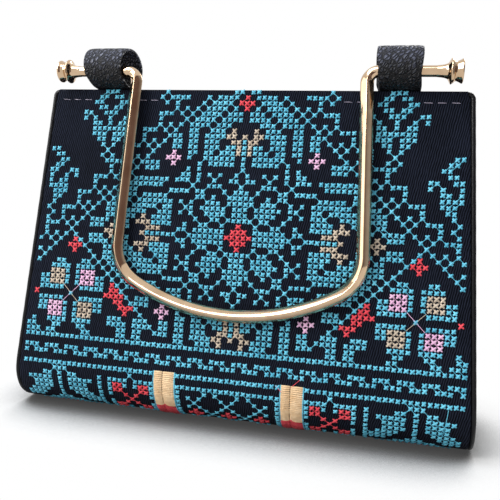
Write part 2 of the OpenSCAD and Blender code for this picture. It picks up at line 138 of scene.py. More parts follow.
def close_seam(obj, merge=2e-6):
    """Merges the long seam of a tube, fills its two ends and turns its faces outward."""
    make_active(obj)
    bpy.ops.object.mode_set(mode="EDIT")
    bpy.ops.mesh.select_all(action="SELECT")
    bpy.ops.mesh.remove_doubles(threshold=merge)
    bpy.ops.mesh.select_all(action="DESELECT")
    bpy.ops.mesh.select_non_manifold()
    bpy.ops.mesh.fill_holes(sides=0)
    bpy.ops.object.mode_set(mode="OBJECT")
    face_outward(obj)


def thicken(obj, thickness, offset, edge=0.0):
    """Gives a sheet its thickness, in millimetres, and rounds its rim."""
    make_active(obj)
    wall = obj.modifiers.new("wall", "SOLIDIFY")
    wall.thickness = thickness / MM_IN_METRE
    wall.offset = offset
    bpy.ops.object.modifier_apply(modifier="wall")
    if edge:
        rim = obj.modifiers.new("rim", "BEVEL")
        rim.width = edge / MM_IN_METRE
        rim.segments = 3
        rim.limit_method = "ANGLE"
        rim.angle_limit = math.radians(50)
        bpy.ops.object.modifier_apply(modifier="rim")
    face_outward(obj)


def smooth(obj, angle):
    make_active(obj)
    bpy.ops.object.shade_smooth_by_angle(angle=math.radians(angle))


def finish_piece(obj, body, slot, finish, *nodes):
    obj.data.materials.clear()
    obj.data.materials.append(finish)
    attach(obj, body)
    if nodes:
        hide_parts(*nodes)


def nearest_row(v, count):
    """Number of the row that each share v of the way lies on, where the last row is count."""
    return np.clip(np.rint(v * count).astype(int), 0, count)


def directions(line):
    """Unit direction of a line at each of its points."""
    along = np.gradient(line, axis=0)
    return along / np.hypot(along[:, 0], along[:, 1])[:, None]


# Surface of the bag

def half_width(z):
    """Half the width between the side seams at height z."""
    return BASE_W / 2 - (BASE_W - TOP_W) / 2 * z / BODY_H


def skin(s, out):
    """Point (y, z) at a distance out from the bag's outer face.

    s is the distance over the surface from the front top edge, under the bag, to the back one.
    """
    s = np.asarray(s, dtype=float)
    back = s > GIRTH / 2
    d = np.where(back, GIRTH - s, s)
    facing = LEAN - np.clip((d - SLANT) / FOLD_R, 0, FOLD_TURN)
    y = -FOLD_Y - (FOLD_R + out) * np.cos(facing)
    z = FOLD_R + (FOLD_R + out) * np.sin(facing)
    up = np.maximum(SLANT - d, 0)
    under = np.maximum(d - SLANT - ARC, 0)
    y = y + up * math.sin(LEAN) + under
    z = z + up * math.cos(LEAN)
    return np.where(back, -y, y), z


def soft_fold(x, d, start, slope, half_w):
    """1 along a fold that starts at the top edge and slants down the panel, 0 away from it."""
    return np.exp(-((x - start - slope * d) / half_w) ** 2)


def give(x, s):
    """How far the cloth gives inward, in millimetres: a slack belly with ripples, and two soft folds."""
    belly_depth, fold_depth, slack_half_w = 0.75, 0.5, 118.0
    s = np.asarray(s, dtype=float)
    d = np.minimum(s, GIRTH - s)
    down = np.clip(d / SLANT, 0, 1)
    across = np.clip(np.abs(x) / slack_half_w, 0, 1)
    belly = belly_depth * np.sin(math.pi * down) ** 0.8 * (1 - across ** 4)
    ripple = 0.5 + 0.5 * np.sin(x * 0.055 + 0.9 + d * 0.016) * np.cos(d * 0.05 + x * 0.011)
    folds = soft_fold(x, d, 84, 0.06, 4.5) + 0.6 * soft_fold(x, d, -97, -0.05, 5)
    fade = np.clip(np.sin(math.pi * down), 0, 1) ** 2
    return belly * (0.55 + 0.45 * ripple) + fold_depth * folds * fade


def front_point(x, y, z):
    """From the frame on the front top edge (y into the bag, z up along the panel) to the world."""
    return (
        x,
        -TOP_D / 2 + y * math.cos(LEAN) + z * math.sin(LEAN),
        BODY_H - y * math.sin(LEAN) + z * math.cos(LEAN),
    )


def handle_point(x, y, z):
    """From the handle's own frame, on the rod axis, to the world."""
    return front_point(
        x,
        -AXIS_OUT + y * math.cos(TILT) - z * math.sin(TILT),
        AXIS_UP + y * math.sin(TILT) + z * math.cos(TILT),
    )


# Shader groups

def group(name, inputs, outputs):
    tree = bpy.data.node_groups.new(name, "ShaderNodeTree")
    for label, value in inputs:
        socket = tree.interface.new_socket(label, in_out="INPUT", socket_type="NodeSocketFloat")
        socket.default_value = value
    for label in outputs:
        tree.interface.new_socket(label, in_out="OUTPUT", socket_type="NodeSocketFloat")
    return tree, tree.nodes.new("NodeGroupInput"), tree.nodes.new("NodeGroupOutput")


def put(tree, kind, **values):
    node = tree.nodes.new(kind)
    for key, value in values.items():
        setattr(node, key, value)
    return node


def math_node(tree, operation, *values):
    """Result of a Math node, whose values are numbers or sockets."""
    node = put(tree, "ShaderNodeMath", operation=operation)
    for socket, value in zip(node.inputs, values):
        if isinstance(value, (int, float)):
            socket.default_value = value
        else:
            tree.links.new(value, socket)
    return node.outputs[0]


def plus(tree, a, b):
    return math_node(tree, "ADD", a, b)


def times(tree, a, b):
    return math_node(tree, "MULTIPLY", a, b)


def split(tree, vector):
    """Outputs X, Y and Z of a vector."""
    parts = put(tree, "ShaderNodeSeparateXYZ")
    tree.links.new(vector, parts.inputs[0])
    return parts.outputs


def object_place(tree, scale=(1, 1, 1), turn=(0, 0, 0), kind="POINT"):
    place = put(tree, "ShaderNodeTexCoord")
    mapping = put(tree, "ShaderNodeMapping", vector_type=kind)
    mapping.inputs["Scale"].default_value = scale
    mapping.inputs["Rotation"].default_value = turn
    tree.links.new(place.outputs["Object"], mapping.inputs["Vector"])
    return mapping.outputs["Vector"]


def noise(tree, vector, scale, detail=3.0, rough=0.5):
    node = put(tree, "ShaderNodeTexNoise")
    node.inputs["Scale"].default_value = scale
    node.inputs["Detail"].default_value = detail
    node.inputs["Roughness"].default_value = rough
    tree.links.new(vector, node.inputs["Vector"])
    return node.outputs["Fac"]


def cloth_rib_group():
    """Fine slanting ribs that run up the cloth, broken by the weft, with a slow drift."""
    wander, rib_slant, end_facing = 0.0012, -0.2, 0.7
    tree, given, out = group("cloth ribs", [("Ribs", 870.0), ("Break", 1.0)], ["Height", "Drift"])
    place = object_place(tree)
    at = split(tree, place)
    normal = split(tree, put(tree, "ShaderNodeNewGeometry").outputs["Normal"])
    end_panel = math_node(tree, "GREATER_THAN", math_node(tree, "ABSOLUTE", normal["X"]), end_facing)
    swap = math_node(tree, "SUBTRACT", at["Y"], at["X"])
    across = plus(tree, at["X"], times(tree, end_panel, swap))
    across = plus(tree, across, times(tree, noise(tree, place, scale=260, detail=2), wander))
    across = plus(tree, across, times(tree, at["Z"], rib_slant))
    turns = times(tree, given.outputs["Ribs"], 2 * math.pi)
    waves = math_node(tree, "SINE", times(tree, across, turns))
    ribs = math_node(tree, "MULTIPLY_ADD", waves, 0.5, 0.5)
    weft = noise(tree, object_place(tree, (1900, 420, 420)), scale=1, rough=0.65)
    height = plus(tree, ribs, times(tree, weft, given.outputs["Break"]))
    tree.links.new(height, out.inputs["Height"])
    tree.links.new(noise(tree, place, scale=38, detail=4, rough=0.6), out.inputs["Drift"])
    return tree


def pebble_group():
    """Pebbled leather: raised cells with creased valleys between them, and a finer grain on top."""
    warp, valley_share, fine_share = 0.0011, 0.32, 0.25
    tree, given, out = group("pebble grain", [("Cells", 900.0)], ["Height", "Valley"])
    place = object_place(tree, (0.75, 1.0, 1.35), (0, math.radians(32), 0), "TEXTURE")
    wobble = put(tree, "ShaderNodeTexNoise")
    wobble.inputs["Scale"].default_value = 420
    tree.links.new(place, wobble.inputs["Vector"])
    shift = put(tree, "ShaderNodeVectorMath", operation="MULTIPLY_ADD")
    shift.inputs[1].default_value = (warp, warp, warp)
    tree.links.new(wobble.outputs["Color"], shift.inputs[0])
    tree.links.new(place, shift.inputs[2])
    cells = put(tree, "ShaderNodeTexVoronoi", feature="DISTANCE_TO_EDGE")
    tree.links.new(given.outputs["Cells"], cells.inputs["Scale"])
    tree.links.new(shift.outputs[0], cells.inputs["Vector"])
    crown = put(tree, "ShaderNodeMapRange", interpolation_type="SMOOTHSTEP")
    crown.inputs["From Max"].default_value = valley_share
    tree.links.new(cells.outputs["Distance"], crown.inputs["Value"])
    fine = noise(tree, place, scale=2600, detail=2)
    height = plus(tree, crown.outputs[0], times(tree, fine, fine_share))
    tree.links.new(height, out.inputs["Height"])
    tree.links.new(math_node(tree, "SUBTRACT", 1.0, crown.outputs[0]), out.inputs["Valley"])
    return tree


def thread_group():
    """Twisted thread: fine slanting plies and a slow change of shade."""
    ply_slant, wander = 0.55, 0.0006
    tree, given, out = group("thread twist", [("Plies", 2200.0)], ["Height", "Shade"])
    place = object_place(tree)
    at = split(tree, place)
    slope = plus(tree, at["X"], times(tree, at["Z"], ply_slant))
    slope = plus(tree, slope, times(tree, noise(tree, place, scale=700, detail=1), wander))
    turns = times(tree, given.outputs["Plies"], 2 * math.pi)
    plies = math_node(tree, "SINE", times(tree, slope, turns))
    tree.links.new(plies, out.inputs["Height"])
    near = times(tree, noise(tree, place, scale=330, detail=2), 0.65)
    far = times(tree, noise(tree, place, scale=45, detail=2), 0.35)
    tree.links.new(plus(tree, near, far), out.inputs["Shade"])
    return tree


def rub_group():
    """Hairline rubs and finger haze on polished metal."""
    tree, given, out = group("metal rubs", [("Lines", 1.0)], ["Height", "Haze"])
    lines = noise(tree, object_place(tree, (5200, 260, 260), (0.2, 0.4, 0.1)), scale=1, rough=0.6)
    tree.links.new(times(tree, lines, given.outputs["Lines"]), out.inputs["Height"])
    tree.links.new(noise(tree, object_place(tree), scale=85, rough=0.55), out.inputs["Haze"])
    return tree


RIBS = cloth_rib_group()
PEBBLE = pebble_group()
THREAD = thread_group()
RUBS = rub_group()


# Finishes

def srgb(r, g, b):
    """Linear colour of an sRGB one that is given from 0 to 255."""
    linear = [((v / 255 + 0.055) / 1.055) ** 2.4 if v > 10 else v / 255 / 12.92 for v in (r, g, b)]
    return (*linear, 1)


def new_finish(name, **sockets):
    finish = bpy.data.materials.new(name)
    finish.use_nodes = True
    tree = finish.node_tree
    shader = tree.nodes["Principled BSDF"]
    for label, value in sockets.items():
        shader.inputs[label.replace("_", " ")].default_value = value
    return finish, tree, shader


def use_group(tree, which, **values):
    node = put(tree, "ShaderNodeGroup", node_tree=which)
    for label, value in values.items():
        node.inputs[label].default_value = value
    return node


def two_tone(tree, shader, mask, low, high, start=0.3, end=0.7):
    ramp = put(tree, "ShaderNodeValToRGB")
    ramp.color_ramp.elements[0].position = start
    ramp.color_ramp.elements[0].color = low
    ramp.color_ramp.elements[1].position = end
    ramp.color_ramp.elements[1].color = high
    tree.links.new(mask, ramp.inputs["Fac"])
    tree.links.new(ramp.outputs["Color"], shader.inputs["Base Color"])


def roughen(tree, shader, mask, low, high):
    span = put(tree, "ShaderNodeMapRange")
    span.inputs["To Min"].default_value = low
    span.inputs["To Max"].default_value = high
    tree.links.new(mask, span.inputs["Value"])
    tree.links.new(span.outputs[0], shader.inputs["Roughness"])


def emboss(tree, shader, height, depth, strength):
    """Bump of a depth in millimetres."""
    bump = put(tree, "ShaderNodeBump")
    bump.inputs["Distance"].default_value = depth / MM_IN_METRE
    bump.inputs["Strength"].default_value = strength
    tree.links.new(height, bump.inputs["Height"])
    tree.links.new(bump.outputs["Normal"], shader.inputs["Normal"])


def cloth_finish(name, low, high, ribs, depth):
    finish, tree, shader = new_finish(
        name, Specular_IOR_Level=0.04, Sheen_Weight=0.012, Sheen_Roughness=0.5)
    weave = use_group(tree, RIBS, Ribs=ribs)
    ribbed = times(tree, weave.outputs["Height"], 0.45)
    drifted = times(tree, weave.outputs["Drift"], 0.3)
    two_tone(tree, shader, plus(tree, ribbed, drifted), low, high, start=0.4, end=0.9)
    roughen(tree, shader, weave.outputs["Drift"], low=0.75, high=0.95)
    emboss(tree, shader, weave.outputs["Height"], depth, strength=0.6)
    return finish


def thread_finish(name, low, high, gloss=0.42):
    finish, tree, shader = new_finish(
        name, Specular_IOR_Level=0.3, Sheen_Weight=0.08, Sheen_Roughness=0.35)
    twist = use_group(tree, THREAD)
    two_tone(tree, shader, twist.outputs["Shade"], low, high)
    roughen(tree, shader, twist.outputs["Shade"], low=gloss, high=gloss + 0.2)
    emboss(tree, shader, twist.outputs["Height"], depth=0.06, strength=0.7)
    return finish


def leather_finish(name, low, high, cells, depth, gloss, shine, top_lit_from=0.0, top_lit_to=0.001):
    """Pebbled leather whose raised cells are painted paler from one height up to another, in metres: a
    painted highlight on the top of the loops.
    """
    finish, tree, shader = new_finish(name, Specular_IOR_Level=shine)
    grain = use_group(tree, PEBBLE, Cells=cells)
    top_light = put(tree, "ShaderNodeMapRange", interpolation_type="SMOOTHSTEP")
    top_light.inputs["From Min"].default_value = top_lit_from
    top_light.inputs["From Max"].default_value = top_lit_to
    top_light.inputs["To Min"].default_value = 0.2
    tree.links.new(split(tree, object_place(tree))["Z"], top_light.inputs["Value"])
    # Painted highlight: raised cells paler toward the top, where light from above falls
    lit_crowns = times(tree, grain.outputs["Height"], top_light.outputs[0])
    two_tone(tree, shader, lit_crowns, low, high, start=0.1, end=1.0)
    roughen(tree, shader, grain.outputs["Valley"], low=gloss, high=gloss + 0.35)
    emboss(tree, shader, grain.outputs["Height"], depth, strength=1.0)
    return finish


def metal_finish(name, low, high):
    finish, tree, shader = new_finish(name, Metallic=1.0)
    rubs = use_group(tree, RUBS)
    two_tone(tree, shader, rubs.outputs["Haze"], low, high)
    roughen(tree, shader, rubs.outputs["Haze"], low=0.05, high=0.14)
    emboss(tree, shader, rubs.outputs["Height"], depth=0.02, strength=0.12)
    return finish


NAVY_TWILL = cloth_finish("navy twill", srgb(1, 2, 4), srgb(32, 36, 49), ribs=870.0, depth=0.22)
LINING_CLOTH = cloth_finish("lining cloth", srgb(24, 25, 33), srgb(58, 60, 72), ribs=2300.0, depth=0.06)
PIPING_CORD = leather_finish(
    "piping cord", srgb(4, 4, 6), srgb(11, 11, 15), cells=1500.0, depth=0.02, gloss=0.14, shine=0.2)
# The pale bluish high colour lands on the loops' upper cells as a painted highlight
LOOP_LEATHER = leather_finish(
    "loop leather", srgb(4, 4, 7), srgb(74, 77, 92), cells=470.0, depth=0.6, gloss=0.26, shine=0.24,
    top_lit_from=0.188, top_lit_to=0.198)
GOLD = metal_finish("pale gold", srgb(192, 163, 132), srgb(214, 187, 156))
GREY_THREAD = thread_finish("grey thread", srgb(122, 116, 130), srgb(168, 160, 176))
TEAL_THREAD = thread_finish("teal thread", srgb(62, 152, 180), srgb(112, 200, 224))
RED_THREAD = thread_finish("red thread", srgb(194, 42, 56), srgb(230, 80, 90))
CREAM_THREAD = thread_finish("cream thread", srgb(160, 142, 124), srgb(204, 188, 168))
LILAC_THREAD = thread_finish("lilac thread", srgb(202, 152, 188), srgb(232, 190, 216))
TAN_THREAD = thread_finish("tan thread", srgb(212, 172, 126), srgb(238, 208, 168), gloss=0.35)


# Shell, gussets, lining and piping

def shell_place(u, v):
    """Outer face of the shell, with finer rows by its two top edges and corners rounded for the piping."""
    edge, edge_share = 5.0, 0.03
    s = np.interp(1 - v, (0, edge_share, 1 - edge_share, 1), (0, edge, GIRTH - edge, GIRTH))
    d = np.minimum(s, GIRTH - s)
    _, z = skin(s, 0.0)
    inner = CORD_BEND - PIPING_D / 2
    below = np.clip(CORD_BEND + PIPING_D / 2 - d, 0, inner)
    wide = half_width(z) - (inner - np.sqrt(inner ** 2 - below ** 2))
    x = (2 * u - 1) * wide
    y, z = skin(s, -give(x, s))
    return x, y, z


def build_shell():
    shell = sheet("shell_cloth", 124, 216, shell_place)
    thicken(shell, SHELL_T - CLOTH_GAP, offset=-1, edge=0.5)
    smooth(shell, 45)
    finish_piece(shell, "bag", "shell_fabric", NAVY_TWILL, "shell")


def depth_at(z, inset):
    """Half the inside depth at height z, set in from the outer face."""
    beyond = BASE_W
    low = np.sqrt(np.maximum((FOLD_R - inset) ** 2 - np.minimum(z - FOLD_R, 0) ** 2, 0)) + FOLD_Y
    wall = TOP_D / 2 + (BODY_H - z) * math.tan(LEAN) - inset / math.cos(LEAN)
    return np.minimum(np.where(z < FOLD_R, low, beyond), wall)


def gusset_place(side, inset, back):
    """End panel, set in from the walls and back from the seam, that folds inward toward the mouth."""
    base_tuck, mouth_tuck, flat_h, below_top = 1.0, 6.0, 20.0, 1.2

    def place(u, v):
        bottom = inset + SKIN_GAP
        z = bottom + (BODY_H - below_top - bottom) * v
        across = 2 * u - 1
        rise = np.clip(z / BODY_H, 0, 1)
        tuck = (base_tuck + mouth_tuck * rise ** 2) * (1 - np.abs(across) ** 1.6)
        x = half_width(z) - back - tuck * np.clip(z / flat_h, 0, 1)
        return side * x, across * depth_at(z, inset), z
    return place


def build_gussets():
    for side, word in SIDES:
        panel = sheet(word + "_gusset_cloth", 30, 90, gusset_place(side, SHELL_T + CLOTH_GAP, CLOTH_GAP))
        face_outward(panel)
        looks_out = panel.data.polygons[0].normal.x * side > 0
        thicken(panel, 1.0, offset=-1 if looks_out else 1)
        smooth(panel, 50)
        finish_piece(panel, "bag", "shell_fabric", NAVY_TWILL, word + "_gusset")


def lining_place(u, v):
    """Outer face of the lining, a little slack below its top edge."""
    below_top, from_side, slack_depth, slack_from, slack_run = 1.6, 3.0, 0.45, 12.0, 40.0
    s = below_top + (1 - v) * (GIRTH - 2 * below_top)
    _, z = skin(s, -(SHELL_T + CLOTH_GAP))
    x = (2 * u - 1) * (half_width(z) - from_side)
    d = np.minimum(s, GIRTH - s)
    waves = np.sin(x * 0.09 + d * 0.03) * np.sin(d * 0.07 + x * 0.02 + 1)
    slack = slack_depth * np.clip((d - slack_from) / slack_run, 0, 1) * (1 + waves)
    y, z = skin(s, -(SHELL_T + 2 * CLOTH_GAP) - give(x, s) - slack)
    return x, y, z


def build_lining():
    end_inset, end_back = SHELL_T + LINING_T + 1.3, 2.2
    body = sheet("lining_body", 90, 150, lining_place)
    thicken(body, 0.5, offset=-1)
    ends = []
    for side, word in SIDES:
        end = sheet(word + "_lining_end", 24, 70, gusset_place(side, end_inset, end_back))
        thicken(end, 0.4, offset=0)
        ends.append(end)
    make_active(body)
    for end in ends:
        end.select_set(True)
    bpy.ops.object.join()
    body.name = "lining_cloth"
    smooth(body, 50)
    finish_piece(body, "bag", "lining", LINING_CLOTH, "lining")


def piping_line(v):
    """Middle line of the cord: its distance out from the seam and along the girth, and its turn."""
    start = CORD_BEND + PIPING_D / 2
    bend = CORD_BEND * math.pi / 2
    straight = GIRTH - 2 * start
    run = v * (straight + 2 * bend) - bend
    turn = np.clip(np.maximum(-run, run - straight) / CORD_BEND, 0, math.pi / 2) * np.where(run < 0, -1, 1)
    out = PIPING_D / 2 - CORD_BEND * (1 - np.cos(turn))
    along = start + np.clip(run, 0, straight) + CORD_BEND * np.sin(turn)
    return out, along, turn


def build_piping():
    wrinkle, end_rows, end_run = 0.03, 0.04, 0.01
    for side, word in SIDES:
        def place(u, v, side=side):
            v = np.interp(v, (0, end_rows, 1 - end_rows, 1), (0, end_run, 1 - end_run, 1))
            out, along, turn = piping_line(v)
            a = 2 * math.pi * u
            r = PIPING_D / 2 - wrinkle + wrinkle * np.sin(along * 4.2 + 2 * a)
            y, z = skin(along + r * np.cos(a) * np.sin(turn), -PIPING_D / 2 + r * np.sin(a))
            x = half_width(z) + SKIN_GAP + out + r * np.cos(a) * np.cos(turn)
            return side * x, y, z
        cord = sheet(word + "_piping_cord", 14, 340, place)
        close_seam(cord)
        smooth(cord, 60)
        finish_piece(cord, "bag", "piping", PIPING_CORD, word + "_piping")


# Loops

def strap_line(count):
    """Middle line of a loop's strap, in the front frame: (y, z) points at even steps."""
    bend_r, bend_z = 1.3, 0.1
    tab_y = SHELL_T + LINING_T + SEAT_GAP + STRAP_T / 2
    inner_y = tab_y + STRAP_T + SEAT_GAP
    back_y = RING_Y + RING_MID
    line = [(tab_y, -TAB_DROP), (tab_y, bend_z)]
    line += [(tab_y - bend_r + bend_r * math.cos(a), bend_z + bend_r * math.sin(a))
             for a in np.linspace(0.2, math.pi / 2, 8)]
    line += [(RING_Y + RING_MID * math.cos(a), RING_Z + RING_MID * math.sin(a))
             for a in np.linspace(-math.pi / 2, -2 * math.pi, 80)]
    line += [(back_y, 6.0), (back_y, 1.5), (back_y - 0.5, -0.5)]
    line += [(inner_y + 0.85, -7.0), (inner_y, -9.6), (inner_y, 0.4 - TAB_DROP)]
    line = np.array(line)
    run = np.concatenate([[0], np.cumsum(np.hypot(*np.diff(line, axis=0).T))])
    at = np.linspace(0, run[-1], count)
    return np.stack([np.interp(at, run, line[:, 0]), np.interp(at, run, line[:, 1])], axis=1)


def rounded_section(u, half_w, half_t):
    """Points round a flat strap's section with rounded edges, u from 0 to 1."""
    squareness = 7.0
    c, s = np.cos(2 * math.pi * u), np.sin(2 * math.pi * u)
    lift = (np.abs(c) ** squareness + np.abs(s) ** squareness) ** (-1 / squareness)
    return half_w * c * lift, half_t * s * lift


def build_loops():
    """Creased straps round the rods: the left one turned, the right one pushed toward the middle."""
    count = 150
    waver, edge_thinning, crease_depth, crease_w, crease_sway = 0.12, 0.12, 0.16, 0.6, 0.5
    line = strap_line(count + 1)
    along = directions(line)
    for side, word, turn, shift in ((-1, "left", 0.2, 0.0), (1, "right", -0.05, -1.6)):
        def place(u, v, side=side, turn=turn, shift=shift):
            i = nearest_row(v, count)
            at, ahead = line[i], along[i]
            height = np.maximum(at[:, 1], 0)
            free = np.clip(height / STRAP_FOOT, 0, 1)
            half_w = LOOP_W / 2 + (LOOP_CROWN_W - LOOP_W) / 2 * height / (LOOP_H + 1) - SEAT_GAP
            half_w = half_w + waver * np.sin(v * 31 + side) * free
            wide, thick = rounded_section(u, half_w, STRAP_T / 2 - 2 * SKIN_GAP)
            thick = thick * (1 - edge_thinning * np.clip(np.abs(wide) / half_w, 0, 1) ** 6)
            for crease in (-3.6 * side, 3.9 * side):
                off = wide - crease - crease_sway * np.sin(v * 9)
                thick = thick - crease_depth * np.exp(-(off / crease_w) ** 2) * (thick > 0)
            y = at[:, 0] - ahead[:, 1] * thick
            z = at[:, 1] + ahead[:, 0] * thick
            slew = (shift + turn * (y - RING_Y)) * free
            return front_point(side * LOOP_X + wide + slew, y, z)
        strap = sheet(word + "_loop_strap", 64, count, place)
        close_seam(strap)
        smooth(strap, 60)
        finish_piece(strap, "bag", "leather", LOOP_LEATHER, word + "_loop")


# Handle and knobs

def arc(centre, r, start, end, count):
    """Points on a round stretch in the bar's plane, where angle 0 is straight below the centre."""
    a = np.linspace(start, end, count)
    return np.stack([centre[0] + r * np.sin(a), centre[1] - r * np.cos(a)], axis=1)


def handle_line():
    """Middle line of the bent bar in its own plane, from rod end to rod end, and its radius along it."""
    taper, axis_slack = 3.0, 0.01
    grip_r = CORNER_R + (SPAN / 2 - CORNER_R) / math.sin(GRIP_ANGLE)
    grip = np.array((0.0, grip_r - DROP))
    corner = grip + (grip_r - CORNER_R) * np.array((math.sin(GRIP_ANGLE), -math.cos(GRIP_ANGLE)))
    outward = np.array((math.cos(ARM_LEAN), math.sin(ARM_LEAN)))
    upward = np.array((-math.sin(ARM_LEAN), math.cos(ARM_LEAN)))
    foot = corner + CORNER_R * outward
    arm_len = (-foot[1] - ELBOW_R - ELBOW_R * math.sin(ARM_LEAN)) / math.cos(ARM_LEAN)
    top = foot + arm_len * upward
    elbow = top + ELBOW_R * outward
    right = np.concatenate([
        arc(grip, grip_r, 0, GRIP_ANGLE, 40),
        arc(corner, CORNER_R, GRIP_ANGLE, math.pi / 2 + ARM_LEAN, 34)[1:],
        np.linspace(foot, top, 30)[1:],
        arc(elbow, ELBOW_R, ARM_LEAN - math.pi / 2, -math.pi, 22)[1:],
        np.linspace((elbow[0], 0.0), (KNOB_X, 0.0), 16)[1:],
    ])
    line = np.concatenate([right[:0:-1] * (-1, 1), right])
    past_elbow = np.clip((np.abs(line[:, 0]) - elbow[0]) / taper, 0, 1)
    on_rod = line[:, 1] > -axis_slack
    radius = np.where(on_rod, BAR_R - (BAR_R - ROD_R) * past_elbow, BAR_R)
    return line, radius - SKIN_GAP


def square_section(u):
    """Points round the bar's square section, with one edge to the front.

    The first third of each quarter is a rounded edge, and the rest a slightly crowned face.
    """
    quarter = np.floor(u * 4 + 1e-6)
    part = u * 4 - quarter
    corner = quarter * math.pi / 2
    turn = np.radians(-45 + 90 * np.clip(part * 3, 0, 1)) + corner
    reach = (BAR_FLAT - BAR_EDGE) * math.sqrt(2)
    start = np.stack([reach * np.cos(corner), reach * np.sin(corner)])
    after = np.stack([-start[1], start[0]])
    along = np.clip(part * 1.5 - 0.5, 0, 1)
    swell = BAR_EDGE + BAR_CROWN * 4 * along * (1 - along)
    middle = start + (after - start) * along
    return middle[0] + swell * np.cos(turn), middle[1] + swell * np.sin(turn)


def build_handle():
    """One bent bar, square below the elbows and round at the rods."""
    round_above, square_below = 1.0, 5.0
    line, radius = handle_line()
    count = len(line) - 1
    along = directions(line)

    def place(u, v):
        i = nearest_row(v, count)
        side, front = square_section(u)
        round_size = radius[i] / np.hypot(side, front)
        square = np.clip((-line[i, 1] - round_above) / (square_below - round_above), 0, 1)
        size = square + (1 - square) * round_size
        x = line[i, 0] - along[i, 1] * side * size
        z = line[i, 1] + along[i, 0] * side * size
        return handle_point(x, front * size, z)
    bar = sheet("bent_bar", 48, count, place)
    close_seam(bar)
    smooth(bar, 60)
    finish_piece(bar, "handle", "gold_metal", GOLD, "handle_bar")


def knob_turning():
    """Turned outline of a knob from its neck to its end: radius, and share of the knob's length."""
    rim, waist = KNOB_D / 2, KNOB_D / 2 * 0.74
    neck = [
        (0.0, -0.7), (ROD_R + 0.03, -0.7), (ROD_R + 0.1, -0.4), (ROD_R + 0.4, -0.1),
        (ROD_R + 0.9, 0.06), (ROD_R + 1.1, 0.1),
    ]
    collar = [
        (rim * 0.78, 0.17), (rim * 0.94, 0.24), (rim * 0.985, 0.27), (rim, 0.3),
        (rim * 0.985, 0.335), (rim * 0.93, 0.37),
    ]
    hollow = [(waist * 1.22, 0.43), (waist * 1.07, 0.5), (waist, 0.58), (waist, 0.62), (waist * 1.07, 0.69)]
    head = [
        (rim * 0.83, 0.78), (rim * 0.9, 0.86), (rim * 0.925, 0.9), (rim * 0.93, 0.94), (rim * 0.915, 0.975),
        (rim * 0.87, 0.995), (rim * 0.8, 1.0), (rim * 0.6, 0.985), (0.0, 0.975),
    ]
    return np.array(neck + collar + hollow + head)


def build_knobs():
    turning = knob_turning()
    count = len(turning) - 1
    for side, word in SIDES:
        def place(u, v, side=side):
            r, share = turning[nearest_row(v, count)].T
            a = 2 * math.pi * u
            x = side * (KNOB_X + SEAT_GAP + share * KNOB_LEN)
            return handle_point(x, r * np.sin(a), r * np.cos(a))
        knob = sheet(word + "_turned_knob", 40, count, place)
        close_seam(knob)
        make_active(knob)
        finer = knob.modifiers.new("finer", "SUBSURF")
        finer.levels = finer.render_levels = 1
        bpy.ops.object.modifier_apply(modifier="finer")
        smooth(knob, 70)
        finish_piece(knob, "handle", "gold_metal", GOLD, word + "_knob")


# Embroidery

def islands(node):
    """Corner points, in millimetres, of each separate solid in a CAD node."""
    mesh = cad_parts[node].data
    points = np.empty(len(mesh.vertices) * 3)
    mesh.vertices.foreach_get("co", points)
    points = points.reshape(-1, 3) * MM_IN_METRE
    keys, same = np.unique(np.round(points, 3), axis=0, return_inverse=True)
    same = same.ravel()
    parent = list(range(len(keys)))

    def root(i):
        while parent[i] != i:
            parent[i] = parent[parent[i]]
            i = parent[i]
        return i
    mesh.calc_loop_triangles()
    for face in mesh.loop_triangles:
        a, b, c = (root(same[i]) for i in face.vertices)
        parent[b] = a
        parent[root(c)] = root(a)
    groups = {}
    for i in range(len(keys)):
        groups.setdefault(root(i), []).append(keys[i])
    return [np.array(corners) for corners in groups.values()]


def place_of(y, z):
    """Distance from the front top edge, over the surface, of a point near the front face."""
    s = -((y + TOP_D / 2) * math.sin(LEAN) + (z - BODY_H) * math.cos(LEAN))
    if s > SLANT:
        s = SLANT + FOLD_R * (LEAN - math.atan2(z - FOLD_R, -(y + FOLD_Y)))
    return s


def extent(corners):
    """Least and greatest x of a solid, and its least and greatest distance from the front top edge."""
    steps = [place_of(y, z) for _, y, z in corners]
    return corners[:, 0].min(), corners[:, 0].max(), min(steps), max(steps)


def stitch_cells(node):
    """Middle (x, s) of every cross-stitch that the node's blocks stand for."""
    cells = []
    for corners in islands(node):
        x0, x1, s0, s1 = extent(corners)
        columns = max(1, round((x1 - x0) / PITCH))
        rows = max(1, round((s1 - s0) / PITCH))
        for i in range(columns):
            for j in range(rows):
                x = x0 - STITCH_MARGIN + (i + 0.5) * PITCH
                cells.append((x, s1 + STITCH_MARGIN - (j + 0.5) * PITCH))
    return cells


def strand_form(stations, half_length):
    """One short strand of thread, modelled once: its points (along, across, height) and faces.

    A station is its place from -1 to 1, then the strand's width, foot and top there.
    """
    spots = np.array(stations)
    last = len(spots) - 1

    def place(u, v):
        t, w, low, high = spots[nearest_row(v, last)].T
        k = nearest_row(u, 4) % 4
        across = np.choose(k, [-0.5, -0.3, 0.3, 0.5]) * w
        height = np.choose(k, [0, 1, 1, 0]) * (high - low) + low
        return t * half_length * MM_IN_METRE, across * MM_IN_METRE, height * MM_IN_METRE
    strand = sheet("strand", 4, last, place)
    close_seam(strand, merge=2e-4)
    points = np.array([v.co[:] for v in strand.data.vertices])
    faces = [tuple(p.vertices) for p in strand.data.polygons]
    bpy.data.objects.remove(strand, do_unlink=True)
    return points, faces


